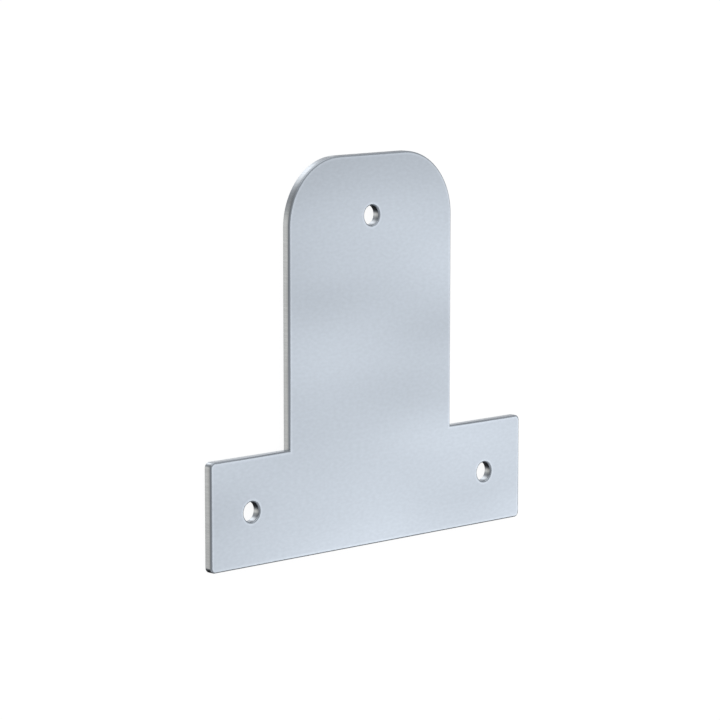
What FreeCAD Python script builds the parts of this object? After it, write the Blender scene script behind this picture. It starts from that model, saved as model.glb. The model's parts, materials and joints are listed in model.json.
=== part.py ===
import FreeCAD, Part
import math
import os

# A flat T-shaped fixing plate, cut and punched from one steel sheet. A wide bar carries a
# tall tongue with two large round corners. One screw hole sits near the tongue's top and one
# near each end of the bar. The plate lies on its back: X runs along the bar, Y runs from the
# bar to the tongue's top, and Z is up through the sheet. The origin is at the middle of the
# plate's box, on its back face. Every length is in millimetres.

sheet_thickness = 2.5
bar_length = 118.0
bar_height = 30.0
tongue_width = 61.5
tongue_rise = 79.0              # from the bar's upper edge to the tongue's top
tongue_corner_radius = 18.5
bar_corner_radius = 1.5         # the bar's four outer corners, with their points taken off
hole_diameter = 5.5             # clearance for a 5 mm screw
bar_hole_inset = 14.5           # from the bar's end to the centre of its hole
tongue_hole_drop = 17.0         # from the tongue's top to the centre of its hole
front_edge_radius = 0.5         # edges drawn round on the side that the punch enters
back_edge_radius = 0.2          # edges broken on the side that lies against the wall

plate_height = bar_height + tongue_rise
bar_bottom = -plate_height / 2
bar_top = bar_bottom + bar_height
tongue_top = plate_height / 2
sharp = 0.0                     # the two inner corners are cut square
up = FreeCAD.Vector(0, 0, 1)


def point(x, y):
    return FreeCAD.Vector(x, y, 0)


def turn_at(before, corner, after, radius):
    """The start, middle and end of the arc that rounds one corner of the outline."""
    back = (before - corner).normalize()
    ahead = (after - corner).normalize()
    half_angle = back.getAngle(ahead) / 2
    reach = radius / math.tan(half_angle)
    to_centre = (back + ahead).normalize()
    middle = corner + to_centre * (radius / math.sin(half_angle) - radius)
    return corner + back * reach, middle, corner + ahead * reach


def outline(corners):
    """A closed wire of straight runs through the corners, each rounded by its own radius."""
    turns = []
    for i, (corner, radius) in enumerate(corners):
        before = corners[i - 1][0]
        after = corners[(i + 1) % len(corners)][0]
        turns.append(turn_at(before, corner, after, radius) if radius else (corner,))
    edges = []
    for i, turn in enumerate(turns):
        if len(turn) > 1:
            edges.append(Part.Arc(*turn).toShape())
        following = turns[(i + 1) % len(turns)]
        edges.append(Part.LineSegment(turn[-1], following[0]).toShape())
    return Part.Wire(edges)


def t_outline():
    """The plate's outer edge: the bar's four corners and the tongue's two."""
    half_bar = bar_length / 2
    half_tongue = tongue_width / 2
    return outline([
        (point(-half_bar, bar_bottom), bar_corner_radius),
        (point(half_bar, bar_bottom), bar_corner_radius),
        (point(half_bar, bar_top), bar_corner_radius),
        (point(half_tongue, bar_top), sharp),
        (point(half_tongue, tongue_top), tongue_corner_radius),
        (point(-half_tongue, tongue_top), tongue_corner_radius),
        (point(-half_tongue, bar_top), sharp),
        (point(-half_bar, bar_top), bar_corner_radius),
    ])


def screw_holes():
    """One round hole on the tongue's centre line, and one on the bar's near each end."""
    bar_hole_x = bar_length / 2 - bar_hole_inset
    bar_middle = bar_bottom + bar_height / 2
    centres = [
        point(0, tongue_top - tongue_hole_drop),
        point(-bar_hole_x, bar_middle),
        point(bar_hole_x, bar_middle),
    ]
    return [Part.Wire(Part.Circle(centre, up, hole_diameter / 2).toShape()) for centre in centres]


def edges_at(solid, level):
    """The edges of the outline and of the holes that lie flat at one height."""
    return [
        edge for edge in solid.Edges
        if all(abs(vertex.Z - level) < Part.Precision.confusion() for vertex in edge.Vertexes)
    ]


def fixing_plate():
    blank = Part.makeFace([t_outline()] + screw_holes(), "Part::FaceMakerBullseye")
    plate = blank.extrude(up * sheet_thickness)
    plate = plate.makeFillet(front_edge_radius, edges_at(plate, sheet_thickness))
    plate = plate.makeFillet(back_edge_radius, edges_at(plate, 0))
    return plate.Solids[0]


os.makedirs("parts", exist_ok=True)
fixing_plate().exportStep("parts/fixing_plate.step")
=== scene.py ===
import bpy
import json
import math
from mathutils import Matrix, Vector


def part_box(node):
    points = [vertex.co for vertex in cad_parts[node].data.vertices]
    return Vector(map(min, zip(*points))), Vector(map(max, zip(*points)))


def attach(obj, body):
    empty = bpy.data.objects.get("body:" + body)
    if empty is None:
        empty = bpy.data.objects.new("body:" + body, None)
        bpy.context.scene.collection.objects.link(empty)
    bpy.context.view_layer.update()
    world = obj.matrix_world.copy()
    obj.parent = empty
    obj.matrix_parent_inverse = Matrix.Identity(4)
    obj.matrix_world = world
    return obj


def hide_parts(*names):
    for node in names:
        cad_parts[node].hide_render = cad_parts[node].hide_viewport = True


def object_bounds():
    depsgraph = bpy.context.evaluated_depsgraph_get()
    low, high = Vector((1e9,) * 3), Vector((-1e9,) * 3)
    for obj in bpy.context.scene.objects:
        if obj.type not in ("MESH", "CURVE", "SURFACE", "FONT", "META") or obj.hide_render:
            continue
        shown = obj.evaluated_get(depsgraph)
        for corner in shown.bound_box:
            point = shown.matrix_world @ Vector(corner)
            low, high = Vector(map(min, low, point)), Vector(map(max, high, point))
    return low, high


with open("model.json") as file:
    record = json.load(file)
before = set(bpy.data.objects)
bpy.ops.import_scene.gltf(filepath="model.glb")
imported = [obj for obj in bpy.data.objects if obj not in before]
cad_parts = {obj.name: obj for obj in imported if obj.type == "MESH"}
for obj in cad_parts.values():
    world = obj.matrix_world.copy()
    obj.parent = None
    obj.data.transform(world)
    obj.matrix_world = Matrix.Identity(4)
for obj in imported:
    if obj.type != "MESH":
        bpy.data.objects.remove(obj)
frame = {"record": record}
record = frame["record"]
cad_low, cad_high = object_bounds()

# Camera
# The plate lies on its back, so the camera looks down on it. It stands off to the bar's left
# end and is turned until the tongue points up the picture.
camera_turn = math.radians(43.40)       # from straight above, towards the bar's left end
camera_lean = math.radians(8.23)        # and towards the tongue's top
camera_distance = 0.8772
camera_aim = Vector((-0.0022, -0.0027, 0.0))
sensor_width, focal_length = 36, 158.67     # in millimetres
nearest_seen = 0.01

backward = Vector((
    -math.sin(camera_turn) * math.cos(camera_lean),
    math.sin(camera_lean),
    math.cos(camera_turn) * math.cos(camera_lean),
))
rightward = Vector((0, 1, 0)).cross(backward).normalized()
upward = backward.cross(rightward)
camera = bpy.data.objects.new("camera", bpy.data.cameras.new("camera"))
camera.matrix_world = (
    Matrix.Translation(camera_aim + backward * camera_distance)
    @ Matrix((rightward, upward, backward)).transposed().to_4x4()
)
camera.data.sensor_width = sensor_width
camera.data.lens = focal_length
camera.data.clip_start = nearest_seen
bpy.context.scene.collection.objects.link(camera)
bpy.context.scene.camera = camera
bpy.context.scene.view_settings.view_transform = "Standard"

# Studio
# A pale studio without lamps: all light comes from a soft sky, whose tone depends on the
# direction alone. Each card is a round patch of it with a soft rim, and the table ring is what
# the cut walls mirror, well below the horizon. The camera sees it all plain white.
backdrop_colour = (1, 1, 1, 1)
sky_at_horizon, sky_overhead = 0.72, 0.55
studio_cards = {
    # name: azimuth from +X, elevation, radius of its core and of its rim in degrees, tone
    "fill": (-20, 25, 20, 60, 0.56),
    "softbox": (-20.5, 34.5, 5, 23, 1.67),
    "horizon shade": (-25, 0, 22, 36, 0.12),
    "strip light": (88, 8, 22, 44, 1.34),
    "dark side": (172, 6, 34, 54, 0.40),
    "black flag": (-84, -12, 13, 34, 0.04),
}
table_ring = {
    # azimuth from +X in degrees: tone
    0: (0.26, 0.26, 0.27), 10: (0.28, 0.28, 0.29), 14: (1.04, 1.04, 1.04),
    18: (1.04, 1.04, 1.04), 24: (0.54, 0.54, 0.54), 36: (0.58, 0.58, 0.58),
    50: (0.78, 0.78, 0.78), 64: (1.38, 1.36, 1.33), 76: (1.64, 1.60, 1.55),
    98: (1.30, 1.26, 1.21), 112: (0.78, 0.76, 0.73), 124: (0.46, 0.45, 0.44),
    136: (0.38, 0.37, 0.36), 154: (0.48, 0.46, 0.43), 168: (0.72, 0.68, 0.61),
    182: (0.94, 0.87, 0.78), 197: (0.80, 0.74, 0.66), 211: (0.38, 0.36, 0.33),
    224: (0.13, 0.13, 0.13), 240: (0.03, 0.03, 0.03), 312: (0.02, 0.02, 0.02),
    330: (0.20, 0.20, 0.20), 348: (0.54, 0.55, 0.55),
}
ring_starts, ring_full = -16, -34       # elevations in degrees


def add(tree, kind, inputs=None, **settings):
    """Adds a node, sets its options, and gives each named input a value or a link."""
    node = tree.nodes.new(kind)
    for name, value in settings.items():
        setattr(node, name, value)
    for name, value in (inputs or {}).items():
        if isinstance(value, bpy.types.NodeSocket):
            tree.links.new(value, node.inputs[name])
        else:
            node.inputs[name].default_value = value
    return node


def towards(azimuth, elevation):
    """The direction with this azimuth and elevation, in degrees."""
    a, e = math.radians(azimuth), math.radians(elevation)
    return Vector((math.cos(a) * math.cos(e), math.sin(a) * math.cos(e), math.sin(e)))


studio = bpy.data.worlds.new("studio")
bpy.context.scene.world = studio
studio.use_nodes = True
sky = studio.node_tree
sky.nodes.clear()
direction = add(sky, "ShaderNodeTexCoord").outputs["Generated"]
height = add(sky, "ShaderNodeSeparateXYZ", {"Vector": direction}).outputs["Z"]
tone = add(sky, "ShaderNodeMapRange", {
    "Value": height, "From Min": 0.0, "From Max": 1.0,
    "To Min": sky_at_horizon, "To Max": sky_overhead,
}, interpolation_type="SMOOTHSTEP").outputs["Result"]
for name, (azimuth, elevation, core, rim, card_tone) in studio_cards.items():
    facing = add(sky, "ShaderNodeVectorMath", {
        0: direction, 1: towards(azimuth, elevation),
    }, operation="DOT_PRODUCT").outputs["Value"]
    apart = add(sky, "ShaderNodeMath", {0: facing}, operation="ARCCOSINE").outputs["Value"]
    cover = add(sky, "ShaderNodeMapRange", {
        "Value": apart, "From Min": math.radians(rim), "From Max": math.radians(core),
    }, interpolation_type="SMOOTHSTEP").outputs["Result"]
    tone = add(sky, "ShaderNodeMix", {0: cover, 2: tone, 3: card_tone}, label=name).outputs[0]

# The radial gradient starts at -X, so half a turn makes it start at +X.
turned = add(sky, "ShaderNodeMapping", {"Vector": direction, "Rotation": (0, 0, math.pi)})
around = add(
    sky, "ShaderNodeTexGradient", {"Vector": turned.outputs["Vector"]}, gradient_type="RADIAL")
ring = add(sky, "ShaderNodeValToRGB", {"Fac": around.outputs["Fac"]})
stops = ring.color_ramp.elements
stops.remove(stops[1])
for azimuth, colour in table_ring.items():
    stop = stops[0] if azimuth == 0 else stops.new(azimuth / 360)
    stop.color = (*colour, 1)
stops.new(1.0).color = stops[0].color
below = add(sky, "ShaderNodeMapRange", {
    "Value": height, "From Min": math.sin(math.radians(ring_starts)),
    "From Max": math.sin(math.radians(ring_full)),
}, interpolation_type="SMOOTHSTEP").outputs["Result"]
tone = add(sky, "ShaderNodeMix", {
    0: below, 6: tone, 7: ring.outputs["Color"]}, data_type="RGBA").outputs[2]
seen = add(sky, "ShaderNodeLightPath")
tone = add(sky, "ShaderNodeMix", {
    0: seen.outputs["Is Camera Ray"], 6: tone, 7: backdrop_colour}, data_type="RGBA").outputs[2]
lit = add(sky, "ShaderNodeBackground", {"Color": tone})
add(sky, "ShaderNodeOutputWorld", {"Surface": lit.outputs[0]})

# Floor
# A plain pale table top under the plate. It glows for the camera alone, so that it comes out
# white and still keeps the plate's soft shadow. The metal doesn't mirror it.
floor_size = 8.0
floor_colour = (0.22, 0.22, 0.22, 1)
floor_glow = 0.89

floor_mesh = bpy.data.meshes.new("floor")
reach = floor_size / 2
floor_mesh.from_pydata(
    [(-reach, -reach, cad_low.z), (reach, -reach, cad_low.z),
     (reach, reach, cad_low.z), (-reach, reach, cad_low.z)], [], [(0, 1, 2, 3)])
floor = bpy.data.objects.new("floor", floor_mesh)
bpy.context.scene.collection.objects.link(floor)
floor.visible_glossy = False
paper = bpy.data.materials.new("pale floor")
paper.use_nodes = True
tree = paper.node_tree
tree.nodes.clear()
seen = add(tree, "ShaderNodeLightPath")
glow = add(tree, "ShaderNodeMath", {
    0: seen.outputs["Is Camera Ray"], 1: floor_glow}, operation="MULTIPLY")
surface = add(tree, "ShaderNodeBsdfPrincipled", {
    "Base Color": floor_colour, "Roughness": 1.0, "Specular IOR Level": 0.0,
    "Emission Color": backdrop_colour, "Emission Strength": glow.outputs[0],
})
add(tree, "ShaderNodeOutputMaterial", {"Surface": surface.outputs[0]})
floor_mesh.materials.append(paper)

# Fixing plate
# One flat T of steel sheet, punched out in one stroke with its three screw holes and then plated
# with zinc. The edges that the punch entered are drawn round.
sheet_low, sheet_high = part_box("fixing_plate")
thickness = sheet_high.z - sheet_low.z
half_bar = sheet_high.x
bar_height = 0.030
half_tongue = 0.0615 / 2
tongue_corner_radius = 0.0185
bar_corner_radius = 0.0015
front_rim_radius = 0.0005
back_rim_share = 0.4                    # of the front rim's radius
rim_steps = 8
corner_steps = 40
hole_steps = 72
holes = [m for m in record["mounts"] if m["kind"] == "bore"]

bar_top = sheet_low.y + bar_height
corners = [
    (-half_bar, sheet_low.y, bar_corner_radius),
    (half_bar, sheet_low.y, bar_corner_radius),
    (half_bar, bar_top, bar_corner_radius),
    (half_tongue, bar_top, 0.0),
    (half_tongue, sheet_high.y, tongue_corner_radius),
    (-half_tongue, sheet_high.y, tongue_corner_radius),
    (-half_tongue, bar_top, 0.0),
    (-half_bar, bar_top, bar_corner_radius),
]

# The plan: the outline's corner points in order, joined by edges, then a lone point for each hole.
plan = bpy.data.meshes.new("plate plan")
plan.from_pydata(
    [(x, y, sheet_low.z) for x, y, radius in corners]
    + [(hole["pos_m"][0], hole["pos_m"][1], sheet_low.z) for hole in holes],
    [(i, (i + 1) % len(corners)) for i in range(len(corners))], [])
plan.attributes.new("corner_radius", "FLOAT", "POINT").data.foreach_set(
    "value", [radius for x, y, radius in corners] + [0.0] * len(holes))
plan.attributes.new("hole_radius", "FLOAT", "POINT").data.foreach_set(
    "value", [0.0] * len(corners) + [hole["dims"]["r_mm"] / 1000 for hole in holes])
blank = bpy.data.objects.new("blank", plan)
bpy.context.scene.collection.objects.link(blank)

# The punch: rounds the outline's corners, cuts a circle at each hole's point, fills what lies
# between, raises it to the sheet's thickness, and marks the rims that the bevel then rounds.
punch = bpy.data.node_groups.new("punch plate", "GeometryNodeTree")
punch_inputs = {}
for name, kind in {
    "Plan": "Geometry", "Thickness": "Float", "Corner Steps": "Int", "Hole Steps": "Int",
    "Back Rim Share": "Float", "Metal": "Material",
}.items():
    punch_inputs[name] = punch.interface.new_socket(
        name, in_out="INPUT", socket_type="NodeSocket" + kind)
punch.interface.new_socket("Plate", in_out="OUTPUT", socket_type="NodeSocketGeometry")
given = add(punch, "NodeGroupInput").outputs
merge_distance = 1e-6
sharp_angle = math.radians(60)

lines = add(punch, "GeometryNodeMeshToCurve", {"Mesh": given["Plan"]})
radius = add(
    punch, "GeometryNodeInputNamedAttribute", {"Name": "corner_radius"}, data_type="FLOAT")
outline = add(punch, "GeometryNodeFilletCurve", {
    "Curve": lines.outputs["Curve"], "Count": given["Corner Steps"],
    "Radius": radius.outputs["Attribute"],
}, mode="POLY")
radius = add(
    punch, "GeometryNodeInputNamedAttribute", {"Name": "hole_radius"}, data_type="FLOAT")
is_hole = add(punch, "FunctionNodeCompare", {
    "A": radius.outputs["Attribute"], "B": 0.0}, operation="GREATER_THAN")
circle = add(punch, "GeometryNodeCurvePrimitiveCircle", {
    "Resolution": given["Hole Steps"], "Radius": 1.0})
pierced = add(punch, "GeometryNodeInstanceOnPoints", {
    "Points": given["Plan"], "Selection": is_hole.outputs["Result"],
    "Instance": circle.outputs["Curve"], "Scale": radius.outputs["Attribute"],
})
pierced = add(punch, "GeometryNodeRealizeInstances", {"Geometry": pierced.outputs["Instances"]})
drawn = add(punch, "GeometryNodeJoinGeometry", {"Geometry": outline.outputs["Curve"]})
punch.links.new(pierced.outputs["Geometry"], drawn.inputs["Geometry"])
sheet = add(punch, "GeometryNodeFillCurve", {"Curve": drawn.outputs["Geometry"]}, mode="NGONS")
sheet = add(punch, "GeometryNodeMergeByDistance", {
    "Geometry": sheet.outputs["Mesh"], "Distance": merge_distance})
raised = add(punch, "GeometryNodeExtrudeMesh", {
    "Mesh": sheet.outputs["Geometry"], "Offset": (0, 0, 1), "Offset Scale": given["Thickness"],
    "Individual": False,
})
back = add(punch, "GeometryNodeFlipFaces", {"Mesh": sheet.outputs["Geometry"]})
closed = add(punch, "GeometryNodeJoinGeometry", {"Geometry": raised.outputs["Mesh"]})
punch.links.new(back.outputs["Mesh"], closed.inputs["Geometry"])
closed = add(punch, "GeometryNodeMergeByDistance", {
    "Geometry": closed.outputs["Geometry"], "Distance": merge_distance})

angle = add(punch, "GeometryNodeInputMeshEdgeAngle")
is_edge = add(punch, "FunctionNodeCompare", {
    "A": angle.outputs["Unsigned Angle"], "B": sharp_angle}, operation="GREATER_THAN")
ends = add(punch, "GeometryNodeInputMeshEdgeVertices")
along = add(punch, "ShaderNodeVectorMath", {
    0: ends.outputs["Position 1"], 1: ends.outputs["Position 2"]}, operation="SUBTRACT")
climb = add(punch, "ShaderNodeSeparateXYZ", {"Vector": along.outputs["Vector"]})
is_level = add(punch, "FunctionNodeCompare", {
    "A": climb.outputs["Z"], "B": 0.0, "Epsilon": merge_distance}, operation="EQUAL")
is_rim = add(punch, "FunctionNodeBooleanMath", {
    0: is_edge.outputs["Result"], 1: is_level.outputs["Result"]}, operation="AND")
level = add(punch, "ShaderNodeSeparateXYZ", {
    "Vector": add(punch, "GeometryNodeInputPosition").outputs["Position"]})
rim_share = add(punch, "ShaderNodeMapRange", {
    "Value": level.outputs["Z"], "From Min": sheet_low.z, "From Max": sheet_high.z,
    "To Min": given["Back Rim Share"], "To Max": 1.0,
})
marked = add(punch, "GeometryNodeStoreNamedAttribute", {
    "Geometry": closed.outputs["Geometry"], "Selection": is_rim.outputs["Boolean"],
    "Name": "bevel_weight_edge", "Value": rim_share.outputs["Result"],
}, data_type="FLOAT", domain="EDGE")
smooth = add(punch, "GeometryNodeSetShadeSmooth", {"Geometry": marked.outputs["Geometry"]})
creased = add(punch, "GeometryNodeSetShadeSmooth", {
    "Geometry": smooth.outputs["Geometry"], "Selection": is_edge.outputs["Result"],
    "Shade Smooth": False,
}, domain="EDGE")
whole = add(punch, "GeometryNodeRealizeInstances", {"Geometry": creased.outputs["Geometry"]})
plated = add(punch, "GeometryNodeSetMaterial", {
    "Geometry": whole.outputs["Geometry"], "Material": given["Metal"]})
add(punch, "NodeGroupOutput", {"Plate": plated.outputs["Geometry"]})

# The metal: bluish zinc all over. The face has soft clouds of painted sheen, stretched along the
# bar as a slightly wavy sheet would mirror them, a fine grain, and a painted highlight along a
# line inside its edges. The rounded rims are painted darker as shade, and so is a band of the
# walls below them, which is deeper and darker in the holes. Fine striations run down the walls as
# the punch went. Each scale is in features per metre.
zinc_colour = (0.575, 0.63, 0.70, 1)
# Painted sheen: soft brighter and darker clouds on the face, standing in for what a slightly wavy
# sheet would mirror.
sheen_cloud_strength, sheen_cloud_scale = 0.095, (14, 41, 0)
sheen_cloud_place, sheen_cloud_seed = (0.12, -0.02, -0.12), 214.2
grain_strength, grain_scale = 0.031, (680, 1250, 0)
striation_strength, striation_scale = 0.06, (2400, 2400, 120)
wander_strength, wander_scale = 0.45, (90, 90, 0)   # of the painted wall shade band's depth
noise_detail, noise_roughness = 1.0, 0.35
noise_lowest, noise_highest = 0.28, 0.68            # what such a noise mostly keeps between
# Painted highlight: a light line on the face just inside its edges and around the holes.
edge_highlight_strength, edge_highlight_width = 0.12, 0.0007
edge_highlight_start, edge_highlight_peak = 0.7 * front_rim_radius, 1.1 * front_rim_radius
# Painted shade: the rounded rims are coloured darker than the face, a little less dark around the
# holes.
outline_rim_tone, hole_rim_tone = 0.64, 0.70
# Painted shade: a darker band on the walls just below the front rims, deeper and darker in the
# holes, where shade falls.
upper_wall_shade, upper_wall_shade_depth = 0.76, 0.0009      # the depth is counted from below the rim
hole_wall_shade, hole_wall_shade_depth = 0.62, 0.0014
face_fade, wall_fade = 0.12 * front_rim_radius, 0.1 * front_rim_radius
face_roughness, wall_roughness = 0.30, 0.20

metal = bpy.data.materials.new("zinc plated steel")
metal.use_nodes = True
tree = metal.node_tree
tree.nodes.clear()
place = add(tree, "ShaderNodeTexCoord").outputs["Object"]
on_plan = add(tree, "ShaderNodeVectorMath", {
    0: place, 1: (1, 1, 0)}, operation="MULTIPLY").outputs["Vector"]


def blend(low, high, value, start, end):
    """A soft ramp from low at start to high at end."""
    return add(tree, "ShaderNodeMapRange", {
        "Value": value, "From Min": start, "From Max": end, "To Min": low, "To Max": high,
    }, interpolation_type="SMOOTHSTEP").outputs["Result"]


def compute(operation, *values):
    """The result of one Math node."""
    inputs = dict(enumerate(values))
    return add(tree, "ShaderNodeMath", inputs, operation=operation).outputs["Value"]


def mottle(strength, scale, offset=(0, 0, 0), seed=0.0):
    """A noise that wavers about 1, with features of this many per metre along each axis."""
    stretched = add(tree, "ShaderNodeMapping", {
        "Vector": place, "Location": offset, "Scale": scale}).outputs["Vector"]
    values = add(tree, "ShaderNodeTexNoise", {
        "Vector": stretched, "W": seed, "Scale": 1.0,
        "Detail": noise_detail, "Roughness": noise_roughness,
    }, noise_dimensions="4D").outputs["Fac"]
    return add(tree, "ShaderNodeMapRange", {
        "Value": values, "From Min": noise_lowest, "From Max": noise_highest,
        "To Min": 1 + strength, "To Max": 1 - strength,
    }).outputs["Result"]


def depth_inside(centre_y, half_width, half_height, radius):
    """How far a point lies inside a rectangle with round corners that stands on x = 0."""
    away = add(tree, "ShaderNodeVectorMath", {
        0: on_plan, 1: (0, centre_y, 0)}, operation="SUBTRACT")
    away = add(tree, "ShaderNodeVectorMath", {0: away.outputs["Vector"]}, operation="ABSOLUTE")
    past = add(tree, "ShaderNodeVectorMath", {
        0: away.outputs["Vector"], 1: (half_width - radius, half_height - radius, 0),
    }, operation="SUBTRACT")
    round_part = add(tree, "ShaderNodeVectorMath", {
        0: past.outputs["Vector"], 1: (0, 0, 0)}, operation="MAXIMUM")
    round_part = add(tree, "ShaderNodeVectorMath", {
        0: round_part.outputs["Vector"]}, operation="LENGTH")
    axes = add(tree, "ShaderNodeSeparateXYZ", {"Vector": past.outputs["Vector"]})
    flat_part = compute("MINIMUM", compute("MAXIMUM", axes.outputs["X"], axes.outputs["Y"]), 0.0)
    return compute("SUBTRACT", radius, compute("ADD", round_part.outputs["Value"], flat_part))


# How far a point of the face lies from the nearest edge, and from the nearest hole.
plate_height = sheet_high.y - sheet_low.y
edge_distance = compute(
    "MAXIMUM",
    depth_inside((sheet_low.y + bar_top) / 2, half_bar, bar_height / 2, bar_corner_radius),
    depth_inside((sheet_low.y + sheet_high.y) / 2, half_tongue, plate_height / 2,
                 tongue_corner_radius))
hole_distance = half_bar
for hole in holes:
    from_centre = add(tree, "ShaderNodeVectorMath", {
        0: on_plan, 1: (*hole["pos_m"][:2], 0)}, operation="DISTANCE").outputs["Value"]
    from_hole = compute("SUBTRACT", from_centre, hole["dims"]["r_mm"] / 1000)
    hole_distance = compute("MINIMUM", hole_distance, from_hole)
edge_distance = compute("MINIMUM", edge_distance, hole_distance)

level = add(tree, "ShaderNodeSeparateXYZ", {"Vector": place}).outputs["Z"]
rim_start = sheet_high.z - front_rim_radius
on_face = blend(0.0, 1.0, level, sheet_high.z - face_fade, sheet_high.z)
on_wall = blend(1.0, 0.0, level, rim_start, rim_start + wall_fade)
# The rims' painted shade, blended from the outline's to the holes'.
in_hole = blend(1.0, 0.0, hole_distance, front_rim_radius, 2 * front_rim_radius)
rim_tone = compute("MULTIPLY_ADD", in_hole, hole_rim_tone - outline_rim_tone, outline_rim_tone)
# The painted shade band of the walls, deeper and darker in the holes; the striations below are the
# walls' own.
wall_shade_reach = compute(
    "MULTIPLY", mottle(wander_strength, wander_scale),
    compute("MULTIPLY_ADD", in_hole, hole_wall_shade_depth - upper_wall_shade_depth, upper_wall_shade_depth))
wall_tone = blend(
    1.0, compute("MULTIPLY_ADD", in_hole, hole_wall_shade - upper_wall_shade, upper_wall_shade),
    level, compute("SUBTRACT", rim_start, wall_shade_reach), rim_start)
wall_tone = compute("MULTIPLY", wall_tone, mottle(striation_strength, striation_scale))

# The face's colour: the painted sheen clouds times the grain.
face_tone = compute(
    "MULTIPLY", mottle(sheen_cloud_strength, sheen_cloud_scale, sheen_cloud_place, sheen_cloud_seed),
    mottle(grain_strength, grain_scale))
# The painted highlight inside the edges brightens the face's colour.
edge_highlight = compute(
    "MULTIPLY", blend(0.0, edge_highlight_strength, edge_distance, edge_highlight_start, edge_highlight_peak),
    blend(1.0, 0.0, edge_distance, edge_highlight_peak, edge_highlight_peak + edge_highlight_width))
face_tone = compute("MULTIPLY", face_tone, compute("ADD", edge_highlight, 1.0))

shade = add(tree, "ShaderNodeMix", {0: on_face, 2: rim_tone, 3: face_tone}).outputs[0]
shade = add(tree, "ShaderNodeMix", {0: on_wall, 2: shade, 3: wall_tone}).outputs[0]
colour = add(tree, "ShaderNodeMix", {
    0: 1.0, 6: zinc_colour, 7: shade}, data_type="RGBA", blend_type="MULTIPLY").outputs[2]
roughness = add(tree, "ShaderNodeMix", {
    0: on_wall, 2: face_roughness, 3: wall_roughness}).outputs[0]
surface = add(tree, "ShaderNodeBsdfPrincipled", {
    "Base Color": colour, "Metallic": 1.0, "Roughness": roughness})
add(tree, "ShaderNodeOutputMaterial", {"Surface": surface.outputs[0]})

press = blank.modifiers.new("punch", "NODES")
press.node_group = punch
for name, value in {
    "Thickness": thickness, "Corner Steps": corner_steps, "Hole Steps": hole_steps,
    "Back Rim Share": back_rim_share, "Metal": metal,
}.items():
    press[punch_inputs[name].identifier] = value
rounding = blank.modifiers.new("rims", "BEVEL")
rounding.width = front_rim_radius
rounding.segments = rim_steps
rounding.limit_method = "WEIGHT"
rounding.use_clamp_overlap = False
rounding.loop_slide = False
rounding.harden_normals = True
shown = blank.evaluated_get(bpy.context.evaluated_depsgraph_get())
plate = bpy.data.objects.new("fixing_plate_sheet", bpy.data.meshes.new_from_object(shown))
plate.data.materials.pop(index=0)       # an empty slot that the fill leaves before the metal's
bpy.context.scene.collection.objects.link(plate)
bpy.data.objects.remove(blank)
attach(plate, "root")
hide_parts("fixing_plate")
